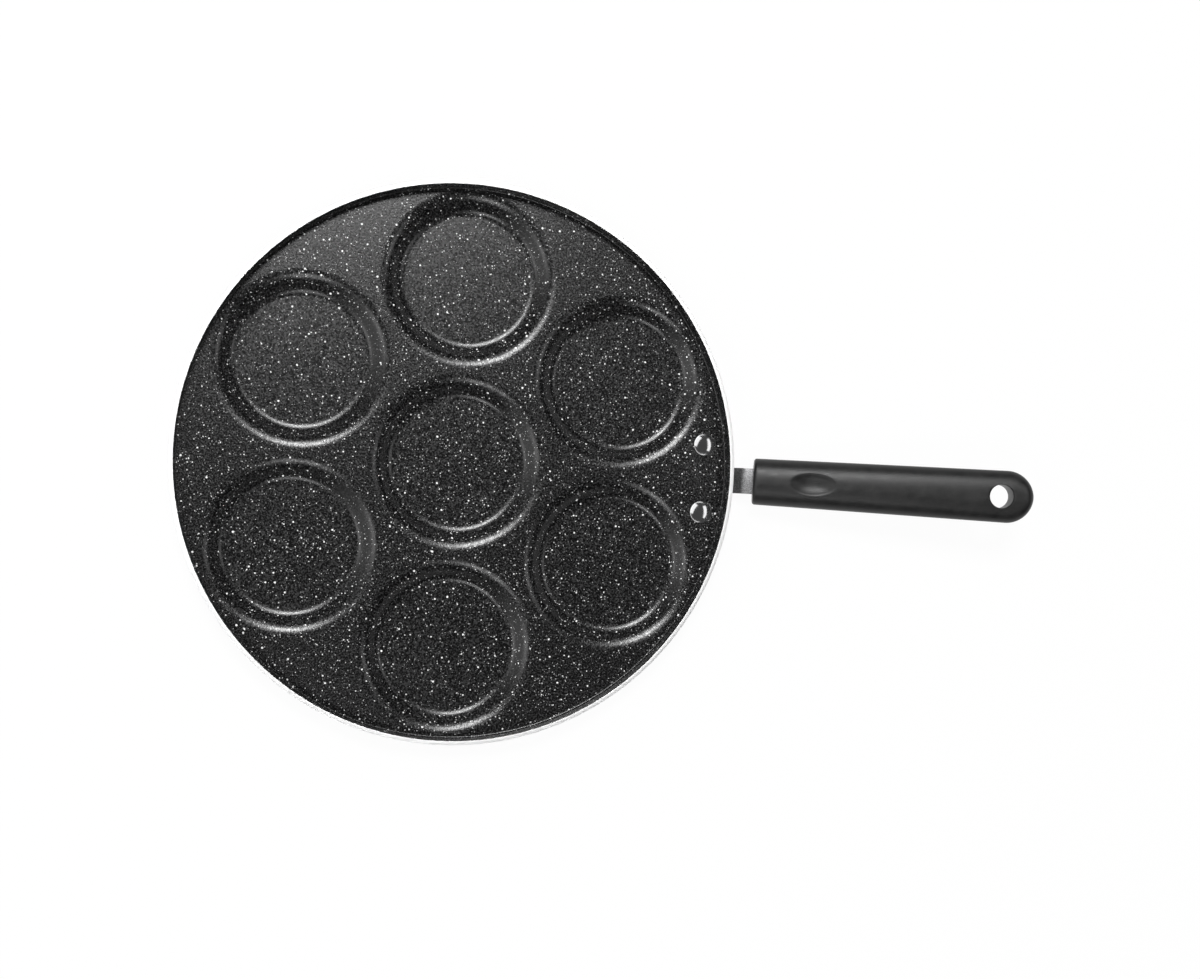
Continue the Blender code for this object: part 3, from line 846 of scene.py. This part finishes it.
def grip_half_sizes(s):
    """Half the grip's width and height, less what its rounded ends take off."""
    share = s / GRIP_LENGTH
    width = (GRIP_FRONT_WIDTH + (GRIP_TIP_WIDTH - GRIP_FRONT_WIDTH) * share) / 2
    height = (GRIP_FRONT_HEIGHT + (GRIP_TIP_HEIGHT - GRIP_FRONT_HEIGHT) * share) / 2
    if s < GRIP_FRONT_ROUND:
        inset = GRIP_FRONT_ROUND - math.sqrt(GRIP_FRONT_ROUND**2 - (GRIP_FRONT_ROUND - s) ** 2)
        return width - inset, height - inset
    end = GRIP_TIP_WIDTH / 2
    past = max(s - (GRIP_LENGTH - end), 0.0)
    width *= math.sqrt(max(1 - (past / end) ** 2, 0.0))
    past = max(s - (GRIP_LENGTH - GRIP_TIP_ROUND), 0.0) / GRIP_TIP_ROUND
    height -= GRIP_TIP_ROUND * (1 - math.sqrt(max(1 - past**2, 0.0)))
    return width, height


def grip_stations():
    """Where the grip's sections stand, closer at its ends and at the thumb recess."""
    stations = []
    for step in range(GRIP_FRONT_STEPS):
        stations.append(GRIP_FRONT_ROUND * (1 - math.cos(math.pi / 2 * step / GRIP_FRONT_STEPS)))
    end = GRIP_TIP_WIDTH / 2
    s = GRIP_FRONT_ROUND
    while s < GRIP_LENGTH - end - GRIP_TIP_MARGIN:
        stations.append(s)
        near = abs(s - THUMB_FROM_FRONT) < THUMB_LENGTH / 2 + THUMB_MARGIN
        s += THUMB_STEP if near else GRIP_STEP
    for step in range(GRIP_TIP_STEPS):
        stations.append(GRIP_LENGTH - end + end * math.sin(math.pi / 2 * step / GRIP_TIP_STEPS))
    return stations


def thumb_floor(s, y):
    """Height of the thumb recess's floor over the grip's centre line, or None outside it."""
    centre_up = THUMB_BOWL - THUMB_DEPTH
    grow = 1 / math.sqrt(1 - (centre_up / THUMB_BOWL) ** 2)
    along = (s - THUMB_FROM_FRONT) / (THUMB_LENGTH / 2 * grow)
    across = y / (THUMB_WIDTH / 2 * grow)
    left = 1 - along**2 - across**2
    if left <= 0:
        return None
    return grip_half_sizes(THUMB_FROM_FRONT)[1] + centre_up - THUMB_BOWL * math.sqrt(left)


def squarish(value):
    """The cosine or sine of a circle, made that of the grip's squarer section."""
    return math.copysign(abs(value) ** (2 / GRIP_SQUARENESS), value)


def grip_section(s):
    """Points round the grip's section, with the thumb recess let into its top."""
    centre, slope = grip_centre(s)
    up = upward(slope)
    half_width, half_height = grip_half_sizes(s)
    points = []
    for step in range(GRIP_SIDES):
        angle = 2 * math.pi * step / GRIP_SIDES
        y = half_width * squarish(math.cos(angle))
        z = half_height * squarish(math.sin(angle))
        floor = thumb_floor(s, y) if z > 0 else None
        if floor is not None:
            z = smooth_min(z, floor, THUMB_EDGE_BLEND)
        points.append(centre + Vector((0, y, 0)) + up * z)
    return points


def grip_body():
    """The grip's sections joined by faces and closed at both ends."""
    bm = bmesh.new()
    rings = [[bm.verts.new(point) for point in grip_section(s)] for s in grip_stations()]
    for ring, following in zip(rings, rings[1:]):
        for index in range(GRIP_SIDES):
            after = (index + 1) % GRIP_SIDES
            bm.faces.new((ring[index], ring[after], following[after], following[index]))
    bm.faces.new(rings[0])
    bm.faces.new(rings[-1])
    return bm


def cut_tang_slot(grip):
    reach = TANG_LENGTH + SEAT_GAP + HOLE_CLEARANCE
    size = (2 * reach, NECK_WIDTH + 2 * HOLE_CLEARANCE, BRACKET_SHEET + 2 * HOLE_CLEARANCE)
    cut(grip, box(size, frame_at(*grip_centre(0))))


def cut_hang_hole(grip):
    hole_at = GRIP_LENGTH - HANG_HOLE_FROM_TIP
    high = grip_half_sizes(hole_at)[1]
    radius = HANG_HOLE / 2
    flare = HANG_HOLE_FLARE
    over = high + 2 * flare
    lip = arc((radius + flare, high - flare), flare, math.pi / 2, math.pi, LIP_STEPS)
    upper = [(0, over), (radius + flare, over)] + lip
    profile = upper + [(r, -z) for r, z in reversed(upper)]
    turn = Matrix.Rotation(math.pi / ROUND_SIDES, 4, "Z")
    cut(grip, turned(profile, ROUND_SIDES, frame_at(*grip_centre(hole_at)) @ turn))


def cut_screw_hole(grip):
    bore = SCREW_HOLE / 2
    wide = SCREW_HEAD / 2 + HOLE_CLEARANCE
    shelf = -(BRACKET_SHEET / 2 + SCREW_FLOOR)
    below = -GRIP_FRONT_HEIGHT
    above = BRACKET_SHEET / 2 + SCREW_PAST_TANG + HOLE_CLEARANCE
    profile = [(0, above), (bore, above), (bore, shelf), (wide, shelf), (wide, below), (0, below)]
    cut(grip, turned(profile, ROUND_SIDES, screw_frame()))


def make_grip(material):
    grip = add_piece("moulded_grip", grip_body(), [material], "grip", sharp=GRIP_SHARP)
    cut_tang_slot(grip)
    cut_hang_hole(grip)
    cut_screw_hole(grip)
    shade(grip.data, GRIP_SHARP)


# The screw

def screw_frame():
    """A frame in the middle of the tang, with Z along the screw."""
    return frame_at(*bracket_middle(TANG_START + SCREW_FROM_FRONT))


def make_screw(material):
    shank = SCREW_SHANK / 2
    head = SCREW_HEAD / 2
    chamfer = SCREW_TIP_CHAMFER
    end = BRACKET_SHEET / 2 + SCREW_PAST_TANG
    seat = -(BRACKET_SHEET / 2 + SCREW_FLOOR + SEAT_GAP)
    low = seat - SCREW_HEAD_HEIGHT
    edge_centre = (head - SCREW_HEAD_ROUND, low + SCREW_HEAD_ROUND)
    edge = arc(edge_centre, SCREW_HEAD_ROUND, 0, -math.pi / 2, SCREW_EDGE_STEPS)
    profile = [(0, end), (shank - chamfer, end), (shank, end - chamfer), (shank, seat), (head, seat)]
    profile += edge + [(0, low)]
    bm = turned(profile, ROUND_SIDES, screw_frame())
    screw = add_piece("cross_screw", bm, [material], "grip_screw")
    for length, width in ((DRIVE_LENGTH, DRIVE_WIDTH), (DRIVE_WIDTH, DRIVE_LENGTH)):
        cut(screw, box((length, width, 2 * DRIVE_DEPTH), screw_frame() @ Matrix.Translation((0, 0, low))))
    shade(screw.data, SHARP)


# The studio

def make_floor():
    """A pale floor that shows nearly white to the camera, in reflections and through glass."""
    f = Finish("studio_floor")
    path = f.add("ShaderNodeLightPath")
    seen = f.calc("MAXIMUM", path.outputs["Is Camera Ray"], path.outputs["Is Glossy Ray"])
    seen = f.calc("MAXIMUM", seen, path.outputs["Is Transmission Ray"])
    share = f.calc("MULTIPLY", seen, FLOOR_GLOW)
    glow = f.add("ShaderNodeEmission", {"Color": grey(1.0), "Strength": 1.0})
    mix = f.add("ShaderNodeMixShader", {0: share, 1: f.shader.outputs[0], 2: glow.outputs[0]})
    f.put(f.tree.nodes["Material Output"].inputs[0], mix.outputs[0])
    tone = f.noise(700.0, detail=2.0)
    f.set(Base_Color=f.blend(tone, grey(0.84), grey(0.87)), Roughness=0.8)
    bm = bmesh.new()
    bmesh.ops.create_grid(bm, x_segments=1, y_segments=1, size=FLOOR_REACH)
    mesh = bpy.data.meshes.new("floor")
    bm.to_mesh(mesh)
    bm.free()
    mesh.materials.append(f.material)
    floor = add_object("floor", mesh)


def make_world():
    """White to the camera. The part sees a pale band at the horizon and a dark sky above."""
    world = bpy.data.worlds.new("studio")
    world.use_nodes = True
    tree = world.node_tree
    tree.nodes.clear()
    coords = tree.nodes.new("ShaderNodeTexCoord")
    split = tree.nodes.new("ShaderNodeSeparateXYZ")
    ramp = tree.nodes.new("ShaderNodeValToRGB")
    path = tree.nodes.new("ShaderNodeLightPath")
    around = tree.nodes.new("ShaderNodeBackground")
    behind = tree.nodes.new("ShaderNodeBackground")
    mix = tree.nodes.new("ShaderNodeMixShader")
    output = tree.nodes.new("ShaderNodeOutputWorld")
    low, high = ramp.color_ramp.elements
    low.position = BAND_TOP
    low.color = grey(BAND_GREY)
    high.position = SKY_START
    high.color = grey(SKY_GREY)
    behind.inputs[0].default_value = grey(1.0)
    for source, target in (
        (coords.outputs["Generated"], split.inputs[0]),
        (split.outputs[2], ramp.inputs[0]),
        (ramp.outputs[0], around.inputs[0]),
        (path.outputs["Is Camera Ray"], mix.inputs[0]),
        (around.outputs[0], mix.inputs[1]),
        (behind.outputs[0], mix.inputs[2]),
        (mix.outputs[0], output.inputs[0]),
    ):
        tree.links.new(source, target)
    bpy.context.scene.world = world


def add_light(name, azimuth, zenith, distance, size, radiance):
    """A flat lamp aimed at the pan. Azimuth is from +X towards +Y, zenith from straight up."""
    a, z = math.radians(azimuth), math.radians(zenith)
    toward = Vector((math.sin(z) * math.cos(a), math.sin(z) * math.sin(a), math.cos(z)))
    lamp = bpy.data.lights.new(name, "AREA")
    lamp.shape = "RECTANGLE"
    lamp.size, lamp.size_y = size
    lamp.energy = radiance * math.pi * size[0] * size[1]
    placed = add_object(name, lamp)
    placed.location = toward * distance
    placed.rotation_mode = "QUATERNION"
    placed.rotation_quaternion = toward.to_track_quat("Z", "Y")
    return placed


def make_lights(mirrors):
    """Small lamps for all but the rivets, and soft panels that show in the rivets alone."""
    shaded = bpy.data.collections.new("shaded")
    mirrored = bpy.data.collections.new("mirrored")
    for mirror in mirrors:
        shaded.objects.link(mirror)
        mirrored.objects.link(mirror)
    for item in shaded.collection_objects:
        item.light_linking.link_state = "EXCLUDE"
    for lights, receivers in ((LAMPS, shaded), (PANELS, mirrored)):
        for name, values in lights.items():
            add_light(name, *values).light_linking.receiver_collection = receivers


def make_camera():
    """Almost straight above, as the photograph was taken."""
    data = bpy.data.cameras.new("camera")
    data.sensor_width = CAMERA_SENSOR
    data.lens = CAMERA_LENS
    data.clip_start = CAMERA_NEAR
    data.clip_end = CAMERA_FAR
    camera = add_object("camera", data)
    camera.location = CAMERA_PLACE
    camera.rotation_mode = "QUATERNION"
    camera.rotation_quaternion = CAMERA_TURN
    bpy.context.scene.camera = camera


make_pan()
rivets = make_rivets(polished_metal())
make_bracket(plated_steel())
make_grip(moulded_plastic())
make_screw(screw_metal())
make_floor()
make_world()
make_lights(rivets)
make_camera()
bpy.context.scene.view_settings.view_transform = "Standard"
